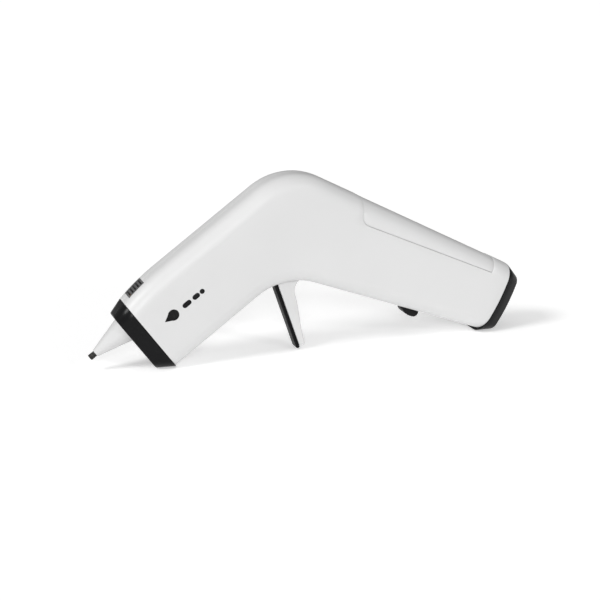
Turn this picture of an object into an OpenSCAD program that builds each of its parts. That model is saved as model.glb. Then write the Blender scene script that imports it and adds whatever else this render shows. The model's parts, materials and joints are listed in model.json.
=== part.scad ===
// Cordless hot-melt glue gun. A bent body of two mirrored shells stands on the front bezel and
// on the rear cap. X runs along the gun with the nozzle at -X, Y is across it, and Z is up.

/* [Body] */
// Width of the body over both shells
body_w = 24; // [23:0.5:28]
// Thickness of the shell wall
wall = 2; // [1.6:0.1:2.4]
// Radius of the long edges
edge_r = 8; // [6:0.5:9]
// Bulge of each flat side at its middle
side_crown = 0.3; // [0:0.1:0.6]
// Bulge of the top and of the underside at the centre line
top_crown = 0.3; // [0:0.1:0.6]

/* [Barrel] */
// Slope of the barrel
barrel_pitch = 35.8; // [34:0.1:37]
// Depth of the barrel, measured square to its slope
barrel_h = 46; // [45:0.5:48]
// Depth of the barrel at its front end
muzzle_h = 43.6; // [42:0.1:45]
// Length over which the top narrows down to the front end
muzzle_run = 24; // [15:1:30]
// Front lower corner of the shells, forward of the origin
muzzle_x = 77.1; // [70:0.1:80]
// Front lower corner of the shells, above the table
muzzle_z = 0.5; // [0.3:0.1:1]
// Distance along the barrel to the corner of the two top lines
top_corner_s = 110.7; // [108:0.1:114]
// Distance along the barrel to the corner of the two bottom lines
under_corner_s = 74.2; // [72:0.1:77]

/* [Handle] */
// Slope of the back of the handle
handle_pitch = 27; // [26:0.1:28]
// Slope of the underside of the handle
under_pitch = 20.2; // [19.5:0.1:21]
// Length of the handle along its back, from the top corner to the rear cap
handle_len = 145.2; // [142:0.1:150]
// Bending radius of the back at the elbow
elbow_top_r = 35; // [30:1:40]
// Bending radius of the underside at the elbow
elbow_under_r = 34; // [30:1:38]

/* [Bezel and rear cap] */
// Depth of the front bezel
bezel_d = 8.7; // [7:0.1:10]
// How far the bezel's front edge draws in on its sides
bezel_in = 2.1; // [1:0.1:3]
// Bulge of the handle's rear end at its middle
rear_sag = 1.6; // [0.4:0.1:2]
// Depth of the rear cap
cap_d = 8.8; // [7:0.1:10]
// How far the rear cap's outer edge draws in
cap_in = 4.3; // [3:0.1:5]

/* [Nozzle and feed] */
// Height of the nozzle's axis above the underside of the barrel
stick_z = 31.2; // [30:0.1:33]
// Bore for the glue stick, for sticks of 7 mm
stick_bore = 7.5; // [7.3:0.1:8]
// Diameter of the nozzle cover at the bezel
cover_d = 14.2; // [13:0.1:16]
// Length of the nozzle cover in front of the bezel
cover_len = 18.9; // [17:0.1:21]
// Diameter of the metal tip
tip_d = 3.2; // [3:0.1:3.8]
// Length of the metal tip in front of its cover
tip_len = 3.7; // [3:0.1:5]
// Depth of the stick's inlet below the back of the handle
inlet_drop = 27.8; // [27.6:0.1:28.4]
// Bending radius of the stick's path through the elbow
guide_r = 42; // [41:0.5:44]

/* [Trigger] */
// Full pull of the trigger, in degrees
trigger_pull = 18; // [12:1:20]
// Distance from the trigger's pivot to its drive pins
drive_arm = 18; // [16:0.5:19]
// Width of the trigger lever
trigger_w = 6.6; // [5:0.2:10]
// Thickness of the finger pad
pad_t = 2; // [1.4:0.1:2.4]
// How far the trigger leans back from upright, in degrees
trigger_lean = 18.9; // [18:0.1:21]
// Gap between the trigger's tip and the table
trigger_clear = 0.5; // [0.3:0.1:1]

/* [Battery lid] */
// Front edge of the lid, along the back of the handle
lid_front = 47.8; // [46:0.1:50]
// Rear edge of the lid, along the back of the handle
lid_rear = 134.2; // [133:0.1:136]
// Depth of the lid's side at its front end
lid_drop = 12.1; // [11:0.1:13]
// Depth of the lid's side at its rear end
lid_drop_rear = 7.2; // [6:0.1:8]
// How far the lid's front edge leans forward for each unit of height
lid_lead = 0.47; // [0:0.01:0.5]
// Gap all round the lid
lid_gap = 0.3; // [0.25:0.05:0.5]
// How far the lid's tabs reach below its edge
tab_reach = 1.2; // [0.8:0.1:1.6]

/* [Switch] */
// Travel of the power switch
switch_travel = 3.5; // [2:0.5:4]

/* [Hidden] */

shell_white = [0.93, 0.93, 0.92];
trim_black = [0.07, 0.07, 0.08];
alloy = [0.75, 0.76, 0.78];
steel = [0.6, 0.61, 0.63];
amber = [0.75, 0.55, 0.3];

$fn = 48;
past = 1; // how far a cut runs past what it cuts
half_w = body_w/2;

// Lines and corners of the side outline, as [x, z]
muzzle_foot = [-muzzle_x, muzzle_z];
barrel_dir = [cos(barrel_pitch), sin(barrel_pitch)];
barrel_up = [-sin(barrel_pitch), cos(barrel_pitch)];
handle_dir = [cos(handle_pitch), -sin(handle_pitch)];
handle_up = [sin(handle_pitch), cos(handle_pitch)];
under_dir = [cos(under_pitch), -sin(under_pitch)];
top_corner = muzzle_foot + top_corner_s*barrel_dir + barrel_h*barrel_up;
under_corner = muzzle_foot + under_corner_s*barrel_dir;
rear_top = top_corner + handle_len*handle_dir;

// Where the line through p along d crosses the line through q along e
function crossing(p, d, q, e) = p + d*cross(q - p, e)/cross(d, e);

rear_under = crossing(rear_top, handle_up, under_corner, under_dir);
rear_h = norm(rear_top - rear_under);

// The rear end of the shells, bulged towards the cap. Ends as [x, z] in the handle's frame.
function rear_bulge(z) = let (v = 2*z/rear_h + 1) rear_sag*(1 - v*v);
end_steps = 8;
end_curve = [for (i = [-1:end_steps + 1]) let (z = -rear_h*i/end_steps)
    [handle_len + rear_bulge(z), z]];
module beside_end(reach) {
    top = end_curve[0];
    bottom = end_curve[end_steps + 2];
    in_handle() across(3*body_w) polygon(concat(end_curve,
        [[handle_len + reach, bottom.y], [handle_len + reach, top.y]]));
}

// Elbow arcs: tangent lengths and centres
top_turn = barrel_pitch + handle_pitch;
top_tangent = elbow_top_r*tan(top_turn/2);
top_centre = top_corner - top_tangent*barrel_dir - elbow_top_r*barrel_up;
under_turn = barrel_pitch + under_pitch;
under_tangent = elbow_under_r*tan(under_turn/2);
under_start = under_corner_s - under_tangent;
under_centre = muzzle_foot + under_start*barrel_dir - elbow_under_r*barrel_up;
under_end = under_corner + under_tangent*under_dir;

// Far crossing of the line through p along the unit vector d with the top arc
function arc_crossing(p, d) = let (c = top_centre - p, m = c*d)
    p + d*(m + sqrt(elbow_top_r*elbow_top_r - c*c + m*m));
// Point of the top outline above p, in the direction d
function top_above(p, d) = let (
        a = crossing(p, d, top_corner, barrel_dir),
        b = crossing(p, d, top_corner, handle_dir),
        hit = norm(a - p) < norm(b - p) ? a : b)
    norm(hit - top_corner) < top_tangent ? arc_crossing(p, d) : hit;

// How far the barrel's top lies below its line, at s behind the front end
function muzzle_dip(s) = (barrel_h - muzzle_h)*pow(max(0, 1 - s/muzzle_run), 2);

// Stations along the body, each a pair [bottom point, top point]
barrel_steps = 9;
elbow_steps = 12;
handle_steps = 9;
end_t = 1 + (rear_sag + past)/norm(rear_under - under_end); // runs past the curved end
function barrel_station(s) = let (b = muzzle_foot + s*barrel_dir)
    [b, b + (barrel_h - muzzle_dip(s))*barrel_up];
function elbow_station(a) = let (d = [sin(a), cos(a)], b = under_centre + elbow_under_r*d)
    [b, top_above(b, d)];
function handle_station(t) = let (
        b = under_end + t*(rear_under - under_end),
        a = under_pitch + t*(handle_pitch - under_pitch))
    [b, top_above(b, [sin(a), cos(a)])];
stations = [
    for (i = [0:barrel_steps]) barrel_station(under_start*pow(i/barrel_steps, 1.4)),
    for (i = [1:elbow_steps]) elbow_station(-barrel_pitch + under_turn*i/elbow_steps),
    for (i = [1:handle_steps]) handle_station(end_t*i/handle_steps)
];

// Half of a rounded outline as [y, z], from its top centre down to its bottom centre
arc_steps = 6;
function half_outline(lo, hi, w, r) = let (
        mid = (lo + hi)/2,
        plain = [[0, hi],
            for (i = [0:arc_steps]) let (a = 90*i/arc_steps) [w - r + r*sin(a), hi - r + r*cos(a)],
            [w, mid],
            for (i = [0:arc_steps]) let (a = 90*i/arc_steps) [w - r + r*cos(a), lo + r - r*sin(a)],
            [0, lo]])
    [for (p = plain) let (v = (p.y - mid)*2/(hi - lo), u = p.x/w)
        [p.x + side_crown*u*(1 - v*v), p.y + top_crown*v*(1 - u*u)]];
function half_section(h, inset) = half_outline(inset, h - inset, half_w - inset, edge_r - inset);
function whole_outline(lo, hi, w, r) = let (h = half_outline(lo, hi, w, r), n = len(h))
    concat([for (p = h) [-p.x, p.y]], [for (i = [n-2:-1:1]) h[i]]);

// Points [y, z] set up on a station of the body, or square to the barrel at s
function height(st) = norm(st[1] - st[0]);
function on_station(st, pts, side = 1) = let (u = (st[1] - st[0])/height(st))
    [for (p = pts) [st[0].x + u.x*p.y, side*p.x, st[0].y + u.y*p.y]];
function at_x(x, pts) = [for (p = pts) [x, p.x, p.y]];
function reversed(v) = [for (i = [len(v)-1:-1:0]) v[i]];

// Closed solid through rings that all have the same even number of points. Each end is closed
// by a strip between the first half of its ring and the second.
module loft(rings) {
    n = len(rings[0]);
    m = len(rings);
    points = [for (ring = rings) each ring];
    sides = [for (k = [0:m-2], i = [0:n-1]) let (
            a = k*n + i,
            b = k*n + (i + 1)%n)
        each [[a, b + n, b], [a, a + n, b + n]]];
    last = (m - 1)*n;
    ends = [for (i = [0:n/2-2]) let (a = i + 1, b = n - 1 - i)
        each [[i, a, b], [a, b - 1, b], last*[1, 1, 1] + [i, b, a], last*[1, 1, 1] + [a, b, b - 1]]];
    polyhedron(points = points, faces = concat(sides, ends), convexity = 8);
}

// Round wire wound along Z, from radius r0 to radius r1
module coil(r0, r1, len, turns, wire) {
    steps = 12;
    n = turns*steps;
    loft([for (i = [0:n]) let (
            t = i/n,
            a = 360*i/steps,
            r = r0 + (r1 - r0)*t)
        [for (k = [0:7]) let (q = -45*k, e = r + wire/2*cos(q))
            [e*cos(a), e*sin(a), len*t + wire/2*sin(q)]]]);
}

// Frames for what sits square to the barrel, the handle's back or its underside
module in_barrel() {
    translate([muzzle_foot.x, 0, muzzle_foot.y]) rotate([0, -barrel_pitch, 0]) children();
}
module in_handle() {
    translate([top_corner.x, 0, top_corner.y]) rotate([0, handle_pitch, 0]) children();
}
module in_underside() {
    translate([under_corner.x, 0, under_corner.y]) rotate([0, under_pitch, 0]) children();
}
module on_stick_axis(s) {
    in_barrel() translate([s, 0, stick_z]) rotate([0, 90, 0]) children();
}
module at_handle(a, drop) {
    in_handle() translate([a, 0, -drop]) rotate([0, 90, 0]) children();
}
// Extrudes a flat outline of [x, z] points across the body, or one of [y, z] points along X
module across(w) {
    translate([0, w/2, 0]) rotate([90, 0, 0]) linear_extrude(w) children();
}
module along(len) {
    rotate([90, 0, 90]) linear_extrude(len) children();
}
// Rod across the body at [x, z], from y0 to y1
module cross_rod(p, r, y0, y1) {
    translate([p.x, y1, p.y]) rotate([90, 0, 0]) cylinder(r = r, h = y1 - y0);
}
module on_both_sides() {
    children();
    mirror([0, 1, 0]) children();
}

// The stick's path: straight up the barrel, round the elbow, straight down the handle
inlet_line = top_corner - inlet_drop*handle_up;
nozzle_line = muzzle_foot + stick_z*barrel_up;
stick_corner = crossing(nozzle_line, barrel_dir, inlet_line, handle_dir);
guide_tangent = guide_r*tan(top_turn/2);
bend_start = (stick_corner - nozzle_line)*barrel_dir - guide_tangent;
bend_end = (stick_corner - inlet_line)*handle_dir + guide_tangent;

// The trigger: its frame starts at the tip of the pad, with X to the back and Z up the pad
trigger_tip = [under_corner.x + 8, trigger_clear];
pivot_back = 18.4;
pivot_up = 45.7;
pivot = trigger_tip + pivot_back*[cos(trigger_lean), sin(trigger_lean)]
    + pivot_up*[-sin(trigger_lean), cos(trigger_lean)];
drive_lean = barrel_pitch - trigger_pull/2;
drive_at = pivot + drive_arm*[-sin(drive_lean), cos(drive_lean)];
hub_r = 4.5;
pin_r = 1.5;
pin_play = 0.06;
rail_in = 5.35; // the carriage's rails, from the centre plane
rail_out = 7.35;
arm_in = 7.65; // the trigger's arms, outside the rails
arm_out = 9.45;
module in_trigger() {
    translate([trigger_tip.x, 0, trigger_tip.y]) rotate([0, -trigger_lean, 0]) children();
}

// The lid lifts off square to the handle's back
lid_corner_r = 6;
function lid_edge(x) = -(lid_drop + (lid_drop_rear - lid_drop)*(x - lid_front)/(lid_rear - lid_front));
module lid_outline(g) {
    r = lid_corner_r + g;
    x = lid_front - g;
    above = 6;
    corner_z = lid_edge(lid_front + lid_corner_r) + lid_corner_r;
    polygon([[lid_rear + g, above], [x - lid_lead*(above - corner_z), above],
        for (i = [0:8]) [x + r - r*cos(90*i/8), corner_z - r*sin(90*i/8)],
        [lid_rear + g, lid_edge(lid_rear) - g]]);
}

// Screw positions as [x, z]: two in the barrel, one in the elbow, one in the handle
function in_barrel_at(s, up) = muzzle_foot + s*barrel_dir + up*barrel_up;
function in_handle_at(a, drop) = top_corner + a*handle_dir - drop*handle_up;
screws_at = [
    in_barrel_at(10, 7.6),
    in_barrel_at(52, 7.6),
    in_handle_at(10, 15),
    in_handle_at(62, 40.4)
];
boss_r = 2.8;
screw_r = 1.1;
screw_head_r = 2;
screw_seat = 7; // under the head, from the centre plane
screw_end = -6;

// Power switch, along the handle's underside
switch_at = 81.6;
knob_w = 8;

// Vent at the barrel's top, behind the bezel
vent_s0 = 3.8;
vent_s1 = 14.6;
vent_w = 9.6;

// One half of the body's wall on the -Y side, with what both halves share
module half_shell() {
    difference() {
        loft([for (st = stations) concat(
            on_station(st, half_section(height(st), 0), -1),
            reversed(on_station(st, half_section(height(st), wall), -1)))]);
        beside_end(30);
        in_handle() across(3*body_w) lid_outline(lid_gap);
        trigger_slot();
        switch_slot();
        vent_pocket();
        cross_rod(pivot, pin_r + 0.02, -half_w + 0.9, 0);
    }
    tray_ledge();
    pivot_pad();
}
module trigger_slot() {
    slot_front = under_corner.x - 8.2;
    slot_len = 24.2;
    slot_w = trigger_w + 2;
    translate([slot_front, -slot_w/2, under_corner.y - 14]) cube([slot_len, slot_w, 14.5]);
}
module switch_slot() {
    slot_len = switch_travel + 4;
    in_underside() translate([switch_at - slot_len/2, -2, -past]) cube([slot_len, 4, wall + 2*past]);
}
module vent_pocket() {
    in_barrel() translate([vent_s0, -vent_w/2, muzzle_h - wall - 2])
        cube([vent_s1 - vent_s0, vent_w, wall + 6]);
}
// Ledge that carries the battery tray
module tray_ledge() {
    in_handle() translate([56, -half_w + 1.2, -24.3]) cube([70, 1.8, 1.5]);
}
module across_side(y0, y1) {
    translate([0, -y0, 0]) rotate([90, 0, 0]) linear_extrude(y1 - y0) children();
}
module pivot_pad() {
    difference() {
        cross_rod(pivot, 3.4, -half_w + 1, -arm_out - 0.15);
        cross_rod(pivot, pin_r + 0.02, -half_w + 0.9, 0);
    }
}

module left_shell() {
    color(shell_white) {
        half_shell();
        for (p = screws_at) difference() {
            cross_rod(p, boss_r, -half_w + 1, 0);
            cross_rod(p, screw_r + 0.03, screw_end - 0.5, past);
        }
    }
}

module right_shell() {
    color(shell_white) difference() {
        union() {
            mirror([0, 1, 0]) half_shell();
            for (p = screws_at) cross_rod(p, boss_r, 0, half_w - 1);
        }
        for (p = screws_at) {
            cross_rod(p, screw_r + 0.15, -past, half_w + past);
            cross_rod(p, screw_head_r + 0.15, screw_seat, half_w + past);
        }
    }
}

module shell_screws() {
    head_t = 1.6;
    color(steel) for (p = screws_at) difference() {
        union() {
            cross_rod(p, screw_r, screw_end, screw_seat);
            cross_rod(p, screw_head_r, screw_seat, screw_seat + head_t);
        }
        for (turn = [0, 90]) translate([p.x, screw_seat + head_t, p.y]) rotate([0, turn, 0])
            cube([2.4, 1.6, 0.6], center = true);
    }
}

// The bezel's outline at x in front of the shells, drawn in by g all round
function bezel_ring(x, g) = let (t = x/bezel_d, low = 0.8)
    at_x(-x, whole_outline(
        x*tan(barrel_pitch) - low + g,
        muzzle_h - 2.4*t - g,
        half_w - bezel_in*t - g,
        edge_r - 1.2*t - g));
module front_bezel() {
    plate = 2;
    lip = 2.6;
    lip_fit = wall + 0.15;
    lip_t = 1.2;
    color(trim_black) difference() {
        in_barrel() {
            difference() {
                loft([for (x = [bezel_d, bezel_d - 0.6, 0]) bezel_ring(x, x == bezel_d ? 0.5 : 0)]);
                loft([bezel_ring(bezel_d - plate, 2), bezel_ring(-past, 2.4)]);
                translate([-bezel_d - past, 0, stick_z]) rotate([0, 90, 0])
                    cylinder(d = cover_d + 0.2, h = bezel_d);
            }
            along(lip) difference() {
                polygon(whole_outline(lip_fit, muzzle_h - lip_fit, half_w - lip_fit, edge_r - lip_fit));
                polygon(whole_outline(lip_fit + lip_t, muzzle_h - lip_fit - lip_t,
                    half_w - lip_fit - lip_t, edge_r - lip_fit - lip_t));
            }
            translate([-0.8, 0, 0]) along(0.8) difference() {
                polygon(whole_outline(1.6, muzzle_h - 1, half_w - 1, edge_r - 1));
                polygon(whole_outline(lip_fit + lip_t, muzzle_h - lip_fit - lip_t,
                    half_w - lip_fit - lip_t, edge_r - lip_fit - lip_t));
            }
        }
        below_table();
    }
}
module below_table() {
    translate([-200, -50, -20]) cube([400, 100, 20]);
}

socket_drop = 13; // charge socket below the handle's back
function cap_ring(x, g) = let (d = cap_in*max(0, x)/cap_d + g, low = 1.7)
    [for (p = whole_outline(-rear_h - low + d, -d, half_w - d, edge_r - d))
        [handle_len + x + rear_bulge(p.y), p.x, p.y]];
module rear_cap() {
    plate = 3;
    lip = 2.6;
    lip_fit = wall + 0.15;
    boss = 5.4;
    color(trim_black) difference() {
        union() {
            difference() {
                in_handle() loft([for (x = [-past, 0, cap_d - 0.7, cap_d])
                    cap_ring(x, x == cap_d ? 0.5 : 0)]);
                in_handle() loft([cap_ring(-2*past, 2.4), cap_ring(cap_d - plate, 2)]);
                beside_end(-30);
            }
            in_handle() translate([handle_len - lip, 0, 0]) along(lip + 0.8 + rear_sag) difference() {
                polygon(whole_outline(-rear_h + lip_fit, -lip_fit, half_w - lip_fit, edge_r - lip_fit));
                polygon(whole_outline(-rear_h + lip_fit + 1.4, -lip_fit - 1.4,
                    half_w - lip_fit - 1.4, edge_r - lip_fit - 1.4));
            }
            at_handle(handle_len - 2, inlet_drop) cylinder(r = boss, h = cap_d + rear_sag);
        }
        at_handle(handle_len - 2 - past, inlet_drop)
            cylinder(d = stick_bore, h = cap_d + 4 + 2*past);
        at_handle(handle_len + cap_d - 1 + rear_bulge(-inlet_drop), inlet_drop)
            cylinder(d1 = stick_bore, d2 = stick_bore + 4, h = 2);
        in_handle() translate([handle_len - past, -4.6, -socket_drop - 1.75])
            cube([cap_d + rear_sag + 2*past, 9.2, 3.5]);
        below_table();
    }
}
module charge_socket() {
    color(steel) in_handle() translate([handle_len - 1, 0, -socket_drop]) {
        along(cap_d + 0.4 + rear_bulge(-socket_drop)) difference() {
            square([8.9, 3.2], center = true);
            square([8.3, 2.6], center = true);
        }
        translate([0, -4.1, -1.3]) cube([1, 8.2, 2.6]);
        translate([0, -3.2, -0.35]) cube([6, 6.4, 0.7]);
    }
}

// Flush grille with slots across the barrel
module vent_grille() {
    fit = 0.06;
    slots = 5;
    slot_w = 0.9;
    pitch = (vent_s1 - vent_s0 - 1)/slots;
    steps = 4;
    top = [for (i = [0:steps]) let (s = vent_s0 + fit + (vent_s1 - vent_s0 - 2*fit)*i/steps)
        [s, barrel_h - muzzle_dip(s) + top_crown]];
    color(trim_black) in_barrel() difference() {
        across(vent_w - 2*fit) polygon(concat(
            top,
            [top[steps] - [0, wall], top[0] - [0, wall]]));
        for (i = [0:slots-1])
            translate([vent_s0 + 0.5 + pitch*(i + 0.5) - slot_w/2, -3.6, muzzle_h - 4])
                cube([slot_w, 7.2, 9]);
    }
}

// Nozzle
cover_back = 1.7; // depth of the cover's flange behind the bezel's plate
module nozzle_cover() {
    front = -bezel_d - cover_len;
    inner = 6.15;
    color(shell_white) on_stick_axis(0) rotate_extrude() polygon([
        [inner, -bezel_d + 2 + cover_back], [cover_d/2 + 1.3, -bezel_d + 2 + cover_back],
        [cover_d/2 + 1.3, -bezel_d + 2.05], [cover_d/2, -bezel_d + 2.05],
        [cover_d/2, -bezel_d], [tip_d/2 + 0.6, front + 0.3], [tip_d/2 + 0.3, front],
        [1.5, front], [1.5, front + 2], [2.3, front + 2.2], [inner, -bezel_d]]);
}
module nozzle_tip() {
    front = -bezel_d - cover_len - tip_len;
    r = tip_d/2;
    color([0.25, 0.25, 0.26]) on_stick_axis(0) rotate_extrude() polygon([
        [0.7, front], [r - 0.35, front], [r, front + 0.5], [r, front + tip_len - 0.1],
        [1.4, front + tip_len - 0.1], [1.4, front + tip_len + 4], [0.7, front + tip_len + 4]]);
}
chamber_r = 6;
chamber_end = 30;
spigot_r = 5;
module melt_chamber() {
    nose = -bezel_d - cover_len + 2.2;
    color(alloy) on_stick_axis(0) difference() {
        rotate_extrude() polygon([
            [1.45, nose], [1.95, nose + 0.6], [chamber_r - 0.1, -bezel_d + 0.2], [chamber_r, -bezel_d + 0.8],
            [chamber_r, chamber_end], [spigot_r, chamber_end], [spigot_r, chamber_end + 4],
            [3.9, chamber_end + 4], [3.9, -3], [1.45, -8]]);
        for (side = [-1, 1]) translate([0, side*7.4, 18]) cube([20, 5, 21], center = true);
    }
}
module heater_plates() {
    color([0.9, 0.88, 0.82]) on_stick_axis(18)
        for (side = [-1, 1]) translate([0, side*5.75, 0]) cube([8, 1.5, 20], center = true);
}
module heater_clip() {
    t = 0.6;
    color(steel) on_stick_axis(13) linear_extrude(9) difference() {
        square([14.4, 2*6.6 + 2*t], center = true);
        square([14.4 - 2*t, 2*6.6], center = true);
        translate([7, 0]) square([4, 7], center = true);
    }
}
// Plate that fills the barrel's inside at s, with the chamber's seat
module bulkhead(s, t, seat_r) {
    fit = wall + 0.25;
    h = barrel_h - muzzle_dip(s);
    in_barrel() translate([s, 0, 0]) along(t) difference() {
        polygon(whole_outline(fit, h - fit, half_w - fit, edge_r - fit));
        translate([0, stick_z]) circle(r = seat_r);
        translate([-7.8, fit + 3]) square([15.6, 8.6]);
        children();
    }
}
rod_z = stick_z - 11;
rod_r = 1.2;
module front_bulkhead() {
    color(amber) bulkhead(3.6, 2.4, chamber_r + 0.05);
}
module rear_bulkhead() {
    color(amber) bulkhead(chamber_end + 0.5, 2.5, spigot_r + 0.05) {
        translate([0, rod_z]) circle(r = rod_r);
    }
}
module inlet_sleeve() {
    color([0.8, 0.3, 0.2]) on_stick_axis(chamber_end + 4) difference() {
        cylinder(r = 5.6, h = 6.4);
        translate([0, 0, -past]) cylinder(r = 3.8, h = 9);
    }
}

// Guide tube for the stick, from behind the carriage to the rear cap. Its path is a list of
// [place, slope] pairs.
tube_r = 5;
tube_bore = 4;
tube_start = 58.6;
tube_end = handle_len - 2.1;
bend_steps = 10;
bend_centre = nozzle_line + bend_start*barrel_dir - guide_r*barrel_up;
function guide_path(more) = [
    [in_barrel_at(tube_start - more, stick_z), barrel_pitch],
    for (i = [0:bend_steps]) let (a = barrel_pitch - top_turn*i/bend_steps)
        [bend_centre + guide_r*[-sin(a), cos(a)], a],
    [in_handle_at(tube_end + more, inlet_drop), -handle_pitch]];
module guide_bar(r, more) {
    loft([for (p = guide_path(more)) [for (k = [0:15]) let (q = 22.5*k, e = r*cos(q))
        [p[0].x - e*sin(p[1]), -r*sin(q), p[0].y + e*cos(p[1])]]]);
}
module guide_tube() {
    color([0.85, 0.85, 0.88]) difference() {
        guide_bar(tube_r, 0);
        guide_bar(tube_bore, past);
    }
}

// Feed carriage: a block round the stick, a lug on the rod and two rails to the trigger's pins
carriage_s = 47;
carriage_len = 10;
claw_at = [54.3, stick_z + 8.2];
module feed_carriage() {
    drive = [(drive_at - muzzle_foot)*barrel_dir, (drive_at - muzzle_foot)*barrel_up];
    rail_lo = drive.y - 4;
    rail_hi = drive.y + 4.2;
    rear = drive.x + 3.4;
    color([0.3, 0.45, 0.6]) in_barrel() difference() {
        union() {
            translate([carriage_s, -rail_out, stick_z - 6.2]) cube([carriage_len, 2*rail_out, 16]);
            translate([carriage_s + 3, -3, rod_z - 3.2]) cube([carriage_len - 3, 6, 9]);
            on_both_sides() across_side(rail_in, rail_out) polygon([
                [carriage_s, stick_z - 4], [carriage_s, stick_z - 7], [carriage_s + 9, rail_lo],
                [rear, rail_lo], [rear, rail_hi], [carriage_s + 14, rail_hi],
                [carriage_s + carriage_len, stick_z - 4]]);
        }
        translate([0, 0, stick_z]) rotate([0, 90, 0]) cylinder(r = 3.9, h = 80);
        translate([0, 0, rod_z]) rotate([0, 90, 0]) cylinder(r = rod_r + 0.07, h = 80);
        translate([carriage_s + 1.5, -1.7, stick_z]) cube([7.6, 3.4, 14]);
        cross_rod(claw_at, 0.8, -8, 8);
        translate([drive.x - pin_r - 0.08, -8, drive.y - 2.4]) cube([2*pin_r + 0.16, 16, 4.4]);
    }
}
module feed_claw() {
    color(steel) in_barrel() difference() {
        union() {
            cross_rod(claw_at, 1.7, -1.4, 1.4);
            across(2.8) polygon([
                claw_at + [-1.2, -1], claw_at + [-4.6, -3.2], claw_at + [-4.3, -3.95],
                claw_at + [-3.4, -3.3], claw_at + [-3, -3.9], claw_at + [-2.1, -3.2],
                claw_at + [-1.6, -3.7], claw_at + [1.2, -1.1]]);
        }
        cross_rod(claw_at, 0.86, -3, 3);
    }
}
module claw_pin() {
    color(alloy) in_barrel() cross_rod(claw_at, 0.8, -rail_out + 0.2, rail_out - 0.2);
}
module guide_rod() {
    color(steel) in_barrel() translate([chamber_end + 0.5, 0, rod_z]) rotate([0, 90, 0])
        cylinder(r = rod_r, h = 30);
}
module return_spring() {
    from = chamber_end + 3.4;
    color(steel) in_barrel() translate([from, 0, rod_z]) rotate([0, 90, 0])
        coil(2.1, 2.1, carriage_s + 3 - from - 0.4, 7, 0.6);
}

// Trigger
module trigger_lever() {
    w = trigger_w;
    blend_r = 8;
    blend = [17.2, 28.5]; // centre of the blend from the lever into its root
    hub = [pivot_back, pivot_up];
    color(shell_white) difference() {
        union() {
            in_trigger() across(w) polygon([
                [pad_t, 0.9], [4.6, 0.7], [5.3, 1.3], [5.6, 3], [6.3, 10], [7.8, 18.2], [8.9, 25],
                for (a = [0:15:90]) blend + blend_r*[-cos(a), sin(a)],
                hub + [3.3, -2.4], hub + [0, hub_r - 0.5], hub + [-9, 0.5], [pad_t, 43]]);
            cross_rod(pivot, hub_r, -arm_out, arm_out);
            on_both_sides() across_side(arm_in, arm_out) polygon(arm_outline());
            on_both_sides() cross_rod(drive_at, 2.8, arm_in, arm_out);
        }
        cross_rod(pivot, pin_r + pin_play, -half_w, half_w);
        cross_rod(drive_at, pin_r, -half_w, half_w);
    }
}
function arm_outline() = let (
        d = (drive_at - pivot)/drive_arm,
        n = [d.y, -d.x])
    [pivot + 4.2*n, drive_at + 2.6*n, drive_at - 2.6*n, pivot - 4.2*n];
module trigger_pad() {
    color(trim_black) in_trigger() across(trigger_w) polygon([
        [0.3, 0.25], [0.9, 0], [pad_t, 0.4], [pad_t, 41], [0.4, 41], [0, 40.4], [0, 0.8]]);
}
module trigger_pin() {
    color(steel) cross_rod(pivot, pin_r, -half_w + 1, half_w - 1);
}
module drive_pins() {
    color(steel) on_both_sides() cross_rod(drive_at, pin_r, rail_in + 0.2, arm_out);
}

// Battery bay
cell_r = 9.3;
cell_len = 65;
cell_a = 60;
cell_drop = 12.3;
tray_a = 54;
tray_end = 129;
module battery_lid() {
    arch = 10;
    first = barrel_steps + elbow_steps - 3;
    color(shell_white) {
        intersection() {
            loft([for (k = [first:len(stations)-1]) let (
                    st = stations[k],
                    outer = half_section(height(st), 0.15),
                    inner = half_section(height(st), wall))
                concat(
                    on_station(st, [for (i = [arch:-1:0]) outer[i]], 1),
                    on_station(st, [for (i = [1:arch]) outer[i]], -1),
                    on_station(st, [for (i = [arch:-1:0]) inner[i]], -1),
                    on_station(st, [for (i = [1:arch]) inner[i]], 1))]);
            in_handle() across(2*body_w) lid_outline(0);
        }
        in_handle() on_both_sides() for (a = [lid_front + 3.2, lid_rear - 7.2]) lid_tab(a);
    }
}
// Tab inside the lid's side that guides it into the shells
module lid_tab(a) {
    top = 3.5;
    translate([a, 8.6, lid_edge(a) - tab_reach]) cube([5, 1.1, tab_reach - lid_edge(a) - top]);
}
module battery_cell() {
    color([0.2, 0.35, 0.55]) at_handle(cell_a, cell_drop) {
        cylinder(r = cell_r, h = cell_len - 0.8);
        translate([0, 0, cell_len - 0.8]) cylinder(r = 2.8, h = 0.8);
    }
}
module battery_tray() {
    top = 13.4;
    bottom = 22.6;
    color([0.2, 0.2, 0.21]) difference() {
        in_handle() translate([tray_a, -9.7, -bottom]) cube([tray_end - tray_a, 19.4, bottom - top]);
        at_handle(tray_a + 2, cell_drop) cylinder(r = cell_r + 0.2, h = tray_end - tray_a - 4);
    }
}
module battery_spring() {
    color(steel) at_handle(tray_a + 2.9, cell_drop + 3) coil(3.6, 1.8, cell_a - tray_a - 3.3, 3, 0.6);
}
module battery_contact() {
    color(steel) at_handle(cell_a + cell_len + 0.05, cell_drop) translate([-5, -4, 0]) cube([9, 8, 0.5]);
}

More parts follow.
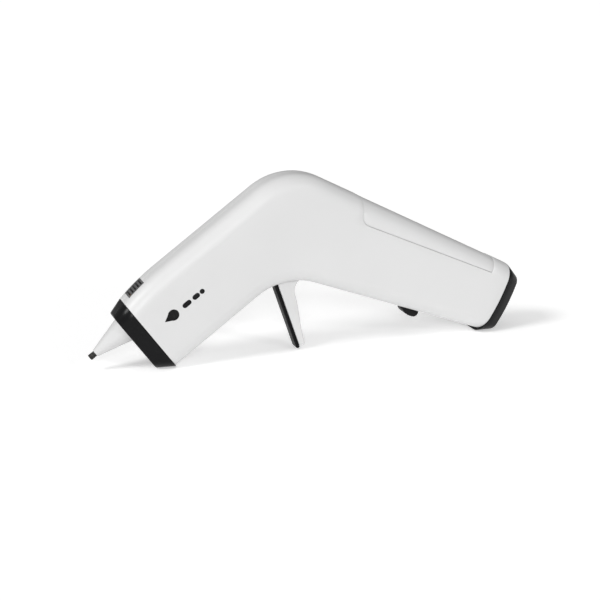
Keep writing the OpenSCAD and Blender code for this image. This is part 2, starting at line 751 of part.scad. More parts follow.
// Electronics
module control_board() {
    board = [27, 15, 1.6];
    at = [18, -7.5, 9];
    color([0.1, 0.4, 0.2]) in_barrel() {
        translate(at) cube(board);
        translate(at + [4, 4, 1.6]) cube([6, 6, 1.2]);
        translate(at + [15, 3, 1.6]) cube([5, 4, 2.4]);
        for (i = [0:2]) translate(at + [22, 2.5 + 4*i, 1.6]) cube([3, 2, 1]);
    }
}
module power_switch() {
    color([0.15, 0.15, 0.16]) in_underside() {
        translate([switch_at - 7, -4, wall + 1.6]) cube([14, 8, 4.6]);
        for (i = [-1:1]) translate([switch_at + 4*i - 0.4, -0.5, wall + 6.2]) cube([0.8, 1, 1.2]);
    }
}
module switch_knob() {
    gap = 0.5;
    rest = -switch_travel/2;
    color(trim_black) in_underside() translate([switch_at + rest, 0, 0]) {
        across(knob_w) polygon([
            [-4.9, -gap], [-5, -gap - 1.2], [-4.5, -gap - 2], [-3.1, -gap - 2.9], [-1, -gap - 3.5],
            [1.4, -gap - 3.7], [3.1, -gap - 3.4], [4.2, -gap - 2.4], [4.6, -gap - 1.2], [4.6, -gap]]);
        translate([-1.6, -1.5, -gap - 0.2]) cube([3.2, 3, wall + 1.4 + gap]);
    }
}

left_shell();
right_shell();
front_bezel();
rear_cap();
vent_grille();
nozzle_cover();
nozzle_tip();
melt_chamber();
heater_plates();
heater_clip();
front_bulkhead();
rear_bulkhead();
inlet_sleeve();
guide_tube();
feed_carriage();
feed_claw();
claw_pin();
guide_rod();
return_spring();
trigger_lever();
trigger_pad();
trigger_pin();
drive_pins();
battery_lid();
battery_cell();
battery_tray();
battery_spring();
battery_contact();
control_board();
charge_socket();
power_switch();
switch_knob();
shell_screws();
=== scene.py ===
import json
import math

import bmesh
import bpy
from mathutils import Matrix, Vector


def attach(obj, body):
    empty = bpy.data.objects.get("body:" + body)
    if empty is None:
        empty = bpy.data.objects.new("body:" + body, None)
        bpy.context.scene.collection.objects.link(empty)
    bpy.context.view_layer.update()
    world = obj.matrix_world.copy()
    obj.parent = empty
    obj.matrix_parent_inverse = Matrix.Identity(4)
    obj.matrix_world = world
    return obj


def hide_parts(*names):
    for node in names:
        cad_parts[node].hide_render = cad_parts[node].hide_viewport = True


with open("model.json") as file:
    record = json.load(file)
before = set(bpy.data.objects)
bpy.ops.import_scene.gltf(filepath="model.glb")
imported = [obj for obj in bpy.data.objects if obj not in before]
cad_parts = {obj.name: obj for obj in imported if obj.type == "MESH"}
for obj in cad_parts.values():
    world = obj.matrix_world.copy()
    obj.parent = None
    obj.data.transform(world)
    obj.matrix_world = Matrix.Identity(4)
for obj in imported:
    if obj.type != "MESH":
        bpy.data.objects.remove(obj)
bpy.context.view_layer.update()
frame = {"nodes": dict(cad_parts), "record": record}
mm = 0.001
collection = bpy.context.scene.collection
print("frame loaded:", len(frame["nodes"]), "nodes")


# camera and studio

cameraSetup = {
    "place": (-251.45, -683.8, 247.3),  # mm
    "target": (-5.95, 0.0, 26.82),
    "lens": 85.0,
}


def aimAt(obj, target):
    obj.rotation_euler = (target - obj.location).to_track_quat("-Z", "Y").to_euler()


def makeCamera():
    data = bpy.data.cameras.new("camera")
    data.lens = cameraSetup["lens"]
    data.sensor_width = 36.0
    data.clip_start = 0.01
    camera = bpy.data.objects.new("camera", data)
    camera.location = Vector(cameraSetup["place"]) * mm
    aimAt(camera, Vector(cameraSetup["target"]) * mm)
    collection.objects.link(camera)
    bpy.context.scene.camera = camera


studio = {
    "floorSize": 8.0,
    "floorColour": (0.9, 0.9, 0.9),
    "floorGlow": 0.33,
    "skyLevel": 0.36,            # even part of the light
    "skySlant": 0.25,            # how much brighter it is towards skyFront
    "skyFront": (-0.8, -0.6, 0.0),
    "lamps": [  # name, direction that it shines from, softness in degrees, strength
        ("frontLight", (-0.35, -1.0, 0.4), 14.0, 1.0),
        ("leftLight", (-0.85, -0.2, 0.75), 18.0, 1.38),
        ("lowLight", (0.5, -0.9, 0.5), 7.0, 0.42),
    ],
}


def makeSky():
    # soft tent of light, brighter in front of the object than behind it
    world = bpy.data.worlds.new("studio")
    world.use_nodes = True
    tree = world.node_tree
    background = tree.nodes["Background"]
    place = tree.nodes.new("ShaderNodeTexCoord")
    slant = tree.nodes.new("ShaderNodeVectorMath")
    slant.operation = "DOT_PRODUCT"
    slant.inputs[1].default_value = Vector(studio["skyFront"]) * studio["skySlant"]
    level = tree.nodes.new("ShaderNodeMath")
    level.operation = "ADD"
    level.inputs[1].default_value = studio["skyLevel"]
    tree.links.new(place.outputs["Generated"], slant.inputs[0])
    tree.links.new(slant.outputs["Value"], level.inputs[0])
    tree.links.new(level.outputs[0], background.inputs["Strength"])
    background.inputs["Color"].default_value = (1, 1, 1, 1)
    bpy.context.scene.world = world


def makeStudio():
    bpy.context.scene.view_settings.view_transform = "Standard"
    makeSky()
    for name, place, softness, strength in studio["lamps"]:
        data = bpy.data.lights.new(name, "SUN")
        data.angle = math.radians(softness)
        data.energy = strength
        lamp = bpy.data.objects.new(name, data)
        lamp.location = place
        aimAt(lamp, Vector((0, 0, 0)))
        collection.objects.link(lamp)


def makeFloor():
    half = studio["floorSize"] / 2
    mesh = bpy.data.meshes.new("floor")
    corners = [(-half, -half, 0), (half, -half, 0), (half, half, 0), (-half, half, 0)]
    mesh.from_pydata(corners, [], [(0, 1, 2, 3)])
    floor = bpy.data.objects.new("floor", mesh)
    collection.objects.link(floor)
    floor.data.materials.append(paperWhite())


# side outline of the body, in mm as (x, z)

bodyShape = {
    "width": 24.0, "wall": 2.0, "edgeRadius": 8.0, "sideCrown": 0.24, "topCrown": 0.3,
    "barrelPitch": 35.8, "barrelDepth": 46.0, "muzzleDepth": 43.6, "muzzleRun": 24.0,
    "muzzleX": 77.1, "muzzleZ": 0.5, "topCorner": 110.7, "underCorner": 74.2,
    "handlePitch": 27.0, "underPitch": 20.2, "handleLength": 145.2, "rearSag": 1.6,
    "elbowTopRadius": 35.0, "elbowUnderRadius": 34.0,
    "barrelSteps": 26, "elbowSteps": 34, "handleSteps": 30, "arcSteps": 10, "flatSteps": 5,
    "seam": 0.14,       # half width of the parting groove
    "endRound": 0.3,    # rounding where the shells meet the black trims
    "endSteps": 3,      # steps of that rounding
}
halfWidth = bodyShape["width"] / 2


def direction(degrees):
    return Vector((math.cos(math.radians(degrees)), math.sin(math.radians(degrees))))


def cross2(a, b):
    return a.x * b.y - a.y * b.x


def crossing(p, d, q, e):
    return p + d * (cross2(q - p, e) / cross2(d, e))


barrelDir = direction(bodyShape["barrelPitch"])
barrelUp = direction(bodyShape["barrelPitch"] + 90)
handleDir = direction(-bodyShape["handlePitch"])
handleUp = direction(90 - bodyShape["handlePitch"])
underDir = direction(-bodyShape["underPitch"])
underUp = direction(90 - bodyShape["underPitch"])
muzzleFoot = Vector((-bodyShape["muzzleX"], bodyShape["muzzleZ"]))
topCorner = muzzleFoot + bodyShape["topCorner"] * barrelDir + bodyShape["barrelDepth"] * barrelUp
underCorner = muzzleFoot + bodyShape["underCorner"] * barrelDir
rearTop = topCorner + bodyShape["handleLength"] * handleDir
rearUnder = crossing(rearTop, handleUp, underCorner, underDir)
rearHeight = (rearTop - rearUnder).length

topTangent = bodyShape["elbowTopRadius"] * math.tan(
    math.radians(bodyShape["barrelPitch"] + bodyShape["handlePitch"]) / 2)
topCentre = topCorner - topTangent * barrelDir - bodyShape["elbowTopRadius"] * barrelUp
underTurn = bodyShape["barrelPitch"] + bodyShape["underPitch"]
underTangent = bodyShape["elbowUnderRadius"] * math.tan(math.radians(underTurn) / 2)
underStart = bodyShape["underCorner"] - underTangent
underCentre = muzzleFoot + underStart * barrelDir - bodyShape["elbowUnderRadius"] * barrelUp
underEnd = underCorner + underTangent * underDir


def topAbove(p, d):
    onBarrel = crossing(p, d, topCorner, barrelDir)
    onHandle = crossing(p, d, topCorner, handleDir)
    hit = onBarrel if (onBarrel - p).length < (onHandle - p).length else onHandle
    if (hit - topCorner).length >= topTangent:
        return hit
    c = topCentre - p
    m = c.dot(d)
    return p + d * (m + math.sqrt(bodyShape["elbowTopRadius"] ** 2 - c.dot(c) + m * m))


def muzzleDip(s):
    narrowing = bodyShape["barrelDepth"] - bodyShape["muzzleDepth"]
    return narrowing * max(0.0, 1 - s / bodyShape["muzzleRun"]) ** 2


def barrelStation(s):
    bottom = muzzleFoot + s * barrelDir
    return bottom, bottom + (bodyShape["barrelDepth"] - muzzleDip(s)) * barrelUp


def elbowStation(angle):
    d = Vector((math.sin(math.radians(angle)), math.cos(math.radians(angle))))
    bottom = underCentre + bodyShape["elbowUnderRadius"] * d
    return bottom, topAbove(bottom, d)


def handleStation(t):
    bottom = underEnd + t * (rearUnder - underEnd)
    angle = bodyShape["underPitch"] + t * (bodyShape["handlePitch"] - bodyShape["underPitch"])
    d = Vector((math.sin(math.radians(angle)), math.cos(math.radians(angle))))
    return bottom, topAbove(bottom, d)


def bodyStations():
    # every station of the body with how far its outline draws in, front to back
    barrel, elbow, handle = (bodyShape[k] for k in ("barrelSteps", "elbowSteps", "handleSteps"))
    steps, radius = bodyShape["endSteps"], bodyShape["endRound"]
    turn = [math.radians(90 * i / steps) for i in range(steps + 1)]
    rounding = [(radius * (1 - math.cos(a)), radius * (1 - math.sin(a))) for a in turn]
    stations = [(barrelStation(s), inset) for s, inset in rounding]
    stations += [(barrelStation(underStart * (i / barrel) ** 1.3), 0.0) for i in range(2, barrel + 1)]
    stations += [(elbowStation(-bodyShape["barrelPitch"] + underTurn * i / elbow), 0.0)
                 for i in range(1, elbow + 1)]
    stations += [(handleStation(i / handle), 0.0) for i in range(1, handle)]
    length = (rearUnder - underEnd).length
    stations += [(handleStation(1 - back / length), inset) for back, inset in reversed(rounding)]
    return stations


def rearBulge(z):
    # how far the handle's rear end stands out at z in the handle's frame
    v = 2 * z / rearHeight + 1
    return bodyShape["rearSag"] * (1 - v * v)


def bulged(ring):
    # ring of a flat section, moved back onto the bulged rear end
    moved = []
    for x, y, z in ring:
        push = rearBulge((Vector((x, z)) - topCorner).dot(handleUp)) * handleDir
        moved.append((x + push.x, y, z + push.y))
    return moved


def smoothSteps(count):
    return [i / count for i in range(1, count + 1)]


def halfOutline(lo, hi, w, r, seam=0.0):
    # from the top centre round the side to the bottom centre, as (y, z)
    arc, flat = bodyShape["arcSteps"], bodyShape["flatSteps"]
    quarter = [math.radians(90 * i / arc) for i in range(arc + 1)]
    points = [(0.0, hi)]
    if seam:
        points = [(0.0, hi - 1.6 * seam), (seam * 0.55, hi - 0.5 * seam), (seam * 1.6, hi)]
    start = points[-1][0]
    points += [(start + (w - r - start) * t, hi) for t in smoothSteps(flat)[:-1]]
    points += [(w - r + r * math.sin(a), hi - r + r * math.cos(a)) for a in quarter]
    points += [(w, hi - r + (lo + 2 * r - hi) * t) for t in smoothSteps(flat)[:-1]]
    points += [(w - r + r * math.cos(a), lo + r - r * math.sin(a)) for a in quarter]
    points += [(w - r + (start - w + r) * t, lo) for t in smoothSteps(flat)[:-1]]
    if seam:
        points += [(seam * 1.6, lo), (seam * 0.55, lo + 0.5 * seam), (0.0, lo + 1.6 * seam)]
    else:
        points += [(0.0, lo)]
    mid, half = (lo + hi) / 2, (hi - lo) / 2
    crowned = []
    for y, z in points:
        v, u = (z - mid) / half, y / w
        crowned.append((y + bodyShape["sideCrown"] * u * (1 - v * v),
                        z + bodyShape["topCrown"] * v * (1 - u * u)))
    return crowned


def halfSection(height, inset, seam=0.0):
    return halfOutline(inset, height - inset, halfWidth - inset, bodyShape["edgeRadius"] - inset, seam)


def wholeOutline(lo, hi, w, r):
    half = halfOutline(lo, hi, w, r)
    return [(-y, z) for y, z in half] + [half[i] for i in range(len(half) - 2, 0, -1)]


def onStation(station, points, side):
    bottom, top = station
    up = (top - bottom).normalized()
    return [(bottom.x + up.x * z, side * y, bottom.y + up.y * z) for y, z in points]


# mesh helpers

def newPiece(name, points, faces, scale=mm):
    mesh = bpy.data.meshes.new(name)
    mesh.from_pydata([Vector(p) * scale for p in points], [], faces)
    work = bmesh.new()
    work.from_mesh(mesh)
    bmesh.ops.recalc_face_normals(work, faces=work.faces)
    work.to_mesh(mesh)
    work.free()
    piece = bpy.data.objects.new(name, mesh)
    collection.objects.link(piece)
    return piece


def loft(name, rings):
    # closed solid through rings of the same even number of points; strips close its two ends
    n, m = len(rings[0]), len(rings)
    points = [p for ring in rings for p in ring]
    faces = []
    for k in range(m - 1):
        for i in range(n):
            a, b = k * n + i, k * n + (i + 1) % n
            faces.append((a, b, b + n, a + n))
    last = (m - 1) * n
    for i in range(n // 2 - 1):
        a, b = i + 1, n - 1 - i
        strip = (i, a, b - 1, b) if a != b - 1 else (i, a, b)
        faces += [strip, tuple(last + j for j in reversed(strip))]
    return newPiece(name, points, faces)


def prism(name, outline, y0, y1, place):
    # flat outline of (x, z) points, carried by place() and extruded across from y0 to y1
    flat = [place(x, z) for x, z in outline]
    n = len(flat)
    points = [(p.x, y0, p.y) for p in flat] + [(p.x, y1, p.y) for p in flat]
    faces = [tuple(range(n)), tuple(range(2 * n - 1, n - 1, -1))]
    faces += [(i, (i + 1) % n, (i + 1) % n + n, i + n) for i in range(n)]
    return newPiece(name, points, faces)


def inWorld(x, z):
    return Vector((x, z))


def inBarrel(x, z):
    return muzzleFoot + x * barrelDir + z * barrelUp


def inHandle(x, z):
    return topCorner + x * handleDir + z * handleUp


def inUnderside(x, z):
    return underCorner + x * underDir + z * underUp


def block(name, x0, x1, y0, y1, z0, z1, place):
    return prism(name, [(x0, z0), (x1, z0), (x1, z1), (x0, z1)], y0, y1, place)


def circle(centre, radius, steps=40):
    turns = [2 * math.pi * i / steps for i in range(steps)]
    return [(centre[0] + radius * math.cos(a), centre[1] + radius * math.sin(a)) for a in turns]


def rod(name, centre, radius, y0, y1, place=inWorld, steps=40):
    return prism(name, circle(centre, radius, steps), y0, y1, place)


def revolve(name, profile, place, z, steps=72):
    # profile of (radius, along) points, turned about the line at height z of a frame
    points, faces = [], []
    n = len(profile)
    for i in range(steps):
        a = 2 * math.pi * i / steps
        for r, along in profile:
            p = place(along, z + r * math.cos(a))
            points.append((p.x, r * math.sin(a), p.y))
    for i in range(steps):
        for j in range(n):
            k = (j + 1) % n
            a, b = i * n, (i + 1) % steps * n
            faces.append((a + j, a + k, b + k, b + j))
    return newPiece(name, points, faces)


def settle(piece):
    # turns the piece's modifiers into its mesh
    graph = bpy.context.evaluated_depsgraph_get()
    graph.update()
    baked = bpy.data.meshes.new_from_object(piece.evaluated_get(graph))
    piece.modifiers.clear()
    old = piece.data
    piece.data = baked
    bpy.data.meshes.remove(old)


def combine(piece, others, operation):
    for other in others:
        modifier = piece.modifiers.new("cut", "BOOLEAN")
        modifier.object = other
        modifier.operation = operation
        modifier.solver = "EXACT"
        settle(piece)
        bpy.data.objects.remove(other)


def soften(piece, width=0.2, segments=2, angle=38):
    modifier = piece.modifiers.new("softEdges", "BEVEL")
    modifier.width = width * mm
    modifier.segments = segments
    modifier.limit_method = "ANGLE"
    modifier.angle_limit = math.radians(angle)
    modifier.use_clamp_overlap = True
    settle(piece)


def finishPiece(piece, body, material, nodes=(), smooth=35):
    piece.data.materials.clear()
    piece.data.materials.append(material)
    for polygon in piece.data.polygons:
        polygon.use_smooth = True
        polygon.material_index = 0
    piece.data.set_sharp_from_angle(angle=math.radians(smooth))
    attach(piece, body)
    if nodes:
        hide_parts(*nodes)


# shader node groups shared by the materials

def newGroup(name, inputs, outputs):
    group = bpy.data.node_groups.new(name, "ShaderNodeTree")
    for label, value in inputs:
        socket = group.interface.new_socket(label, in_out="INPUT", socket_type="NodeSocketFloat")
        socket.default_value = value
    for label in outputs:
        group.interface.new_socket(label, in_out="OUTPUT", socket_type="NodeSocketFloat")
    entry = group.nodes.new("NodeGroupInput")
    leave = group.nodes.new("NodeGroupOutput")
    return group, entry, leave


def addNode(tree, kind, values=None, **settings):
    node = tree.nodes.new(kind)
    for key, value in settings.items():
        setattr(node, key, value)
    for key, value in (values or {}).items():
        if isinstance(value, bpy.types.NodeSocket):
            tree.links.new(value, node.inputs[key])
        else:
            node.inputs[key].default_value = value
    return node


def math2(tree, operation, a, b, clamp=False):
    return addNode(tree, "ShaderNodeMath", {0: a, 1: b}, operation=operation, use_clamp=clamp).outputs[0]


def spread(tree, value, low, high, outLow=0.0, outHigh=1.0):
    return addNode(tree, "ShaderNodeMapRange", {
        "Value": value, "From Min": low, "From Max": high, "To Min": outLow, "To Max": outHigh,
    }).outputs["Result"]


def noise(tree, scale, detail=3.0, roughness=0.5, vector=None):
    values = {"Scale": scale, "Detail": detail, "Roughness": roughness}
    if vector:
        values["Vector"] = vector
    return addNode(tree, "ShaderNodeTexNoise", values).outputs["Fac"]


def objectPlace(tree):
    return addNode(tree, "ShaderNodeTexCoord").outputs["Object"]


def makeMouldedGrain():
    # spark-eroded mould texture: fine pits over a soft large-scale waviness
    group, entry, leave = newGroup("mouldedGrain", [("Scale", 2600.0), ("Waviness", 0.3)], ["Height", "Tone"])
    place = objectPlace(group)
    fine = noise(group, entry.outputs["Scale"], 2.0, 0.6, place)
    coarse = noise(group, math2(group, "MULTIPLY", entry.outputs["Scale"], 0.011), 2.0, 0.5, place)
    waves = math2(group, "MULTIPLY", coarse, entry.outputs["Waviness"])
    group.links.new(math2(group, "ADD", fine, waves), leave.inputs["Height"])
    group.links.new(spread(group, coarse, 0.3, 0.7), leave.inputs["Tone"])
    return group


def makeEdgeWear():
    group, entry, leave = newGroup("edgeWear", [("Amount", 0.5), ("Scale", 260.0)], ["Mask"])
    point = addNode(group, "ShaderNodeNewGeometry").outputs["Pointiness"]
    edge = spread(group, point, 0.52, 0.62)
    patchy = spread(group, noise(group, entry.outputs["Scale"], 4.0, 0.6, objectPlace(group)), 0.42, 0.62)
    mask = math2(group, "MULTIPLY", edge, patchy)
    group.links.new(math2(group, "MULTIPLY", mask, entry.outputs["Amount"], True), leave.inputs["Mask"])
    return group


def makeHandlingMarks():
    # faint smears and hairline scuffs left by use
    group, entry, leave = newGroup("handlingMarks", [("Scale", 40.0)], ["Smear", "Scuff"])
    place = objectPlace(group)
    smear = noise(group, entry.outputs["Scale"], 5.0, 0.55, place)
    group.links.new(spread(group, smear, 0.4, 0.7), leave.inputs["Smear"])
    stretch = addNode(group, "ShaderNodeMapping", {"Vector": place, "Scale": (14.0, 60.0, 90.0)},
                      vector_type="POINT").outputs["Vector"]
    lines = noise(group, math2(group, "MULTIPLY", entry.outputs["Scale"], 0.35), 6.0, 0.7, stretch)
    group.links.new(spread(group, lines, 0.68, 0.78), leave.inputs["Scuff"])
    return group


def makeSettledDust():
    group, entry, leave = newGroup("settledDust", [("Amount", 0.2)], ["Mask"])
    normal = addNode(group, "ShaderNodeNewGeometry").outputs["Normal"]
    up = addNode(group, "ShaderNodeSeparateXYZ", {"Vector": normal}).outputs["Z"]
    facing = spread(group, up, 0.2, 1.0)
    specks = spread(group, noise(group, 900.0, 4.0, 0.7, objectPlace(group)), 0.45, 0.75)
    mask = math2(group, "MULTIPLY", facing, specks)
    group.links.new(math2(group, "MULTIPLY", mask, entry.outputs["Amount"], True), leave.inputs["Mask"])
    return group


def makeToolLines():
    # fine lines that turning, drawing or rolling leaves in metal
    group, entry, leave = newGroup("toolLines", [("Scale", 900.0)], ["Height", "Tone"])
    stretch = addNode(group, "ShaderNodeMapping", {"Vector": objectPlace(group), "Scale": (1.0, 0.08, 1.0)},
                      vector_type="POINT").outputs["Vector"]
    lines = noise(group, entry.outputs["Scale"], 4.0, 0.65, stretch)
    group.links.new(lines, leave.inputs["Height"])
    patches = noise(group, 120.0, 3.0, 0.5, objectPlace(group))
    group.links.new(spread(group, patches, 0.35, 0.65), leave.inputs["Tone"])
    return group


groups = {
    "mouldedGrain": makeMouldedGrain(),
    "edgeWear": makeEdgeWear(),
    "handlingMarks": makeHandlingMarks(),
    "settledDust": makeSettledDust(),
    "toolLines": makeToolLines(),
}
print("shader groups built:", len(groups))


# materials

def startMaterial(name):
    material = bpy.data.materials.new(name)
    material.use_nodes = True
    tree = material.node_tree
    return material, tree, tree.nodes["Principled BSDF"]


def placeGroup(tree, name, **values):
    node = tree.nodes.new("ShaderNodeGroup")
    node.node_tree = groups[name]
    for key, value in values.items():
        node.inputs[key].default_value = value
    return node.outputs


def mixColours(tree, mask, a, b):
    node = addNode(tree, "ShaderNodeMix", data_type="RGBA")
    node.inputs["Factor"].default_value = 0
    tree.links.new(mask, node.inputs["Factor"])
    for socket, value in ((node.inputs[6], a), (node.inputs[7], b)):
        if isinstance(value, bpy.types.NodeSocket):
            tree.links.new(value, socket)
        else:
            socket.default_value = (*value, 1)
    return node.outputs[2]


def bumpFrom(tree, shader, height, strength, distance):
    bump = addNode(tree, "ShaderNodeBump", {"Strength": strength, "Distance": distance, "Height": height})
    tree.links.new(bump.outputs["Normal"], shader.inputs["Normal"])


def mouldedPlastic(name, colour, shade, worn, roughness, grainScale=2600.0, grainDepth=0.000012,
                   wear=0.35, dust=0.12, dustColour=(0.55, 0.54, 0.52), coat=0.0, specular=0.5):
    material, tree, shader = startMaterial(name)
    grain = placeGroup(tree, "mouldedGrain", Scale=grainScale)
    marks = placeGroup(tree, "handlingMarks")
    wearMask = placeGroup(tree, "edgeWear", Amount=wear)["Mask"]
    dustMask = placeGroup(tree, "settledDust", Amount=dust)["Mask"]
    base = mixColours(tree, grain["Tone"], colour, shade)
    base = mixColours(tree, wearMask, base, worn)
    base = mixColours(tree, dustMask, base, dustColour)
    tree.links.new(base, shader.inputs["Base Color"])
    rough = spread(tree, marks["Smear"], 0.0, 1.0, roughness - 0.05, roughness + 0.06)
    rough = math2(tree, "ADD", rough, math2(tree, "MULTIPLY", wearMask, -0.12))
    rough = math2(tree, "ADD", rough, math2(tree, "MULTIPLY", marks["Scuff"], 0.06), True)
    tree.links.new(rough, shader.inputs["Roughness"])
    height = math2(tree, "ADD", grain["Height"], math2(tree, "MULTIPLY", marks["Scuff"], -0.5))
    bumpFrom(tree, shader, height, 0.35, grainDepth)
    shader.inputs["Specular IOR Level"].default_value = specular
    shader.inputs["Coat Weight"].default_value = coat
    return material


def workedMetal(name, colour, shade, roughness, lineScale=900.0, depth=0.00001, metallic=1.0):
    material, tree, shader = startMaterial(name)
    lines = placeGroup(tree, "toolLines", Scale=lineScale)
    marks = placeGroup(tree, "handlingMarks", Scale=110.0)
    base = mixColours(tree, lines["Tone"], colour, shade)
    bright = tuple(min(1.0, c * 1.25 + 0.04) for c in colour)
    base = mixColours(tree, placeGroup(tree, "edgeWear", Amount=0.7)["Mask"], base, bright)
    tree.links.new(base, shader.inputs["Base Color"])
    rough = spread(tree, lines["Height"], 0.3, 0.7, roughness - 0.08, roughness + 0.08)
    rough = math2(tree, "ADD", rough, math2(tree, "MULTIPLY", marks["Smear"], 0.07), True)
    tree.links.new(rough, shader.inputs["Roughness"])
    bumpFrom(tree, shader, lines["Height"], 0.4, depth)
    shader.inputs["Metallic"].default_value = metallic
    return material


def paperWhite():
    material, tree, shader = startMaterial("paperWhite")
    fibres = noise(tree, 700.0, 5.0, 0.6, objectPlace(tree))
    shade = tuple(c * 0.985 for c in studio["floorColour"])
    tree.links.new(mixColours(tree, fibres, studio["floorColour"], shade), shader.inputs["Base Color"])
    shader.inputs["Roughness"].default_value = 0.85
    shader.inputs["Specular IOR Level"].default_value = 0.1
    shader.inputs["Emission Color"].default_value = (1, 1, 1, 1)
    shader.inputs["Emission Strength"].default_value = studio["floorGlow"]
    return material


def circuitBoard():
    # solder mask with copper tracks and tinned pads
    material, tree, shader = startMaterial("circuitBoard")
    place = objectPlace(tree)
    tracks = addNode(tree, "ShaderNodeTexBrick", {
        "Vector": place, "Scale": 160.0, "Mortar Size": 0.06, "Mortar Smooth": 0.1,
        "Color1": (0, 0, 0, 1), "Color2": (0, 0, 0, 1), "Mortar": (1, 1, 1, 1)}).outputs["Color"]
    mask = addNode(tree, "ShaderNodeRGBToBW", {"Color": tracks}).outputs["Val"]
    dots = addNode(tree, "ShaderNodeTexVoronoi", {"Vector": place, "Scale": 330.0}).outputs["Distance"]
    pads = spread(tree, dots, 0.22, 0.18)
    base = mixColours(tree, mask, (0.01, 0.11, 0.035), (0.03, 0.22, 0.06))
    base = mixColours(tree, pads, base, (0.62, 0.6, 0.52))
    tree.links.new(base, shader.inputs["Base Color"])
    tree.links.new(spread(tree, pads, 0.0, 1.0, 0.35, 0.22), shader.inputs["Roughness"])
    bumpFrom(tree, shader, math2(tree, "ADD", mask, pads), 0.5, 0.00003)
    return material


def cellWrap():
    # shrink sleeve with a printed band and fine wrinkles
    material, tree, shader = startMaterial("cellWrap")
    place = objectPlace(tree)
    along = addNode(tree, "ShaderNodeMapping", {"Vector": place, "Rotation": (0, math.radians(-27), 0)},
                    vector_type="POINT").outputs["Vector"]
    x = addNode(tree, "ShaderNodeSeparateXYZ", {"Vector": along}).outputs["X"]
    bands = addNode(tree, "ShaderNodeMath", {0: x, 1: 0.013}, operation="PINGPONG").outputs[0]
    band = spread(tree, bands, 0.0115, 0.0118)
    base = mixColours(tree, noise(tree, 90.0, 3.0, 0.5, place), (0.02, 0.09, 0.3), (0.03, 0.12, 0.36))
    base = mixColours(tree, band, base, (0.75, 0.76, 0.78))
    tree.links.new(base, shader.inputs["Base Color"])
    wrinkles = noise(tree, 420.0, 5.0, 0.6, place)
    tree.links.new(spread(tree, wrinkles, 0.3, 0.7, 0.24, 0.38), shader.inputs["Roughness"])
    bumpFrom(tree, shader, wrinkles, 0.5, 0.00005)
    shader.inputs["Coat Weight"].default_value = 0.3
    return material


materials = {
    "white_shell": mouldedPlastic("satinWhite", (0.625, 0.625, 0.625), (0.61, 0.61, 0.61),
                                  (0.72, 0.72, 0.72), 0.42, dust=0.05, wear=0.25, specular=0.35),
    "black_trim": mouldedPlastic("satinBlack", (0.004, 0.004, 0.0043), (0.0055, 0.0055, 0.006),
                                 (0.03, 0.03, 0.031), 0.3, wear=0.25, dust=0.005, specular=0.12),
    "black_grip": mouldedPlastic("gripBlack", (0.003, 0.003, 0.0032), (0.0045, 0.0045, 0.005),
                                 (0.02, 0.02, 0.021), 0.5, 1500.0, 0.00003, 0.3, 0.01, specular=0.1),
    "vent_grey": mouldedPlastic("ventGrey", (0.085, 0.085, 0.087), (0.07, 0.07, 0.072),
                                (0.2, 0.2, 0.2), 0.4, wear=0.4, dust=0.05, specular=0.3),
    "nozzle_plastic": mouldedPlastic("nozzleGrey", (0.58, 0.58, 0.58), (0.565, 0.565, 0.565),
                                     (0.8, 0.8, 0.8), 0.45, dust=0.05),
    "heatproof_plastic": mouldedPlastic("heatproofAmber", (0.42, 0.2, 0.06), (0.36, 0.16, 0.05),
                                        (0.55, 0.32, 0.14), 0.5, 1800.0),
    "tube_plastic": mouldedPlastic("tubeNatural", (0.72, 0.73, 0.76), (0.66, 0.67, 0.7),
                                   (0.8, 0.8, 0.82), 0.25, 900.0, coat=0.2),
    "carriage_plastic": mouldedPlastic("carriageBlue", (0.06, 0.14, 0.28), (0.05, 0.12, 0.24),
                                       (0.16, 0.26, 0.4), 0.4, 1800.0),
    "silicone": mouldedPlastic("siliconeRed", (0.48, 0.05, 0.03), (0.42, 0.04, 0.025),
                               (0.55, 0.1, 0.07), 0.6, 1200.0, 0.00003, 0.1, 0.3),
    "heater_ceramic": mouldedPlastic("firedCeramic", (0.78, 0.76, 0.7), (0.7, 0.68, 0.62),
                                     (0.85, 0.84, 0.8), 0.7, 900.0, 0.00004, 0.4, 0.2),
    "tip_metal": workedMetal("heatStainedTip", (0.05, 0.049, 0.047), (0.03, 0.029, 0.028), 0.5),
    "chamber_alloy": workedMetal("turnedAlloy", (0.78, 0.78, 0.8), (0.66, 0.66, 0.68), 0.32),
    "spring_steel": workedMetal("brightSteel", (0.6, 0.6, 0.62), (0.48, 0.48, 0.5), 0.25),
    "cell_wrap": cellWrap(),
    "board": circuitBoard(),
}
print("materials built:", len(materials))


# body shells

openings = {
    "lidFront": 47.8, "lidRear": 134.2, "lidDrop": 12.1, "lidDropRear": 7.2, "lidGap": 0.3,
    "lidCorner": 6.0, "lidLead": 0.47, "triggerSlot": (-8.2, 24.2, 8.6),
    "switchAt": 81.6, "switchTravel": 3.5,
    "vent": (3.8, 14.6, 9.6), "screwHead": 2.15, "screwSeat": 7.0, "bossRadius": 2.8,
    "screws": [("barrel", 10.0, 7.6), ("barrel", 52.0, 7.6),
               ("handle", 10.0, -15.0), ("handle", 62.0, -40.4)],
}


def lidEdge(x):
    t = (x - openings["lidFront"]) / (openings["lidRear"] - openings["lidFront"])
    return -(openings["lidDrop"] + (openings["lidDropRear"] - openings["lidDrop"]) * t)


def lidOutline(gap, above=8.0, steps=14):
    front, rear = openings["lidFront"] - gap, openings["lidRear"] + gap
    radius = openings["lidCorner"] + gap
    cornerZ = lidEdge(openings["lidFront"] + openings["lidCorner"]) + openings["lidCorner"]
    turns = [math.radians(90 * i / steps) for i in range(steps + 1)]
    lead = openings["lidLead"] * (above - cornerZ)
    return [(rear, above), (front - lead, above)] + [
        (front + radius - radius * math.cos(a), cornerZ - radius * math.sin(a)) for a in turns
    ] + [(rear, lidEdge(openings["lidRear"]) - gap)]


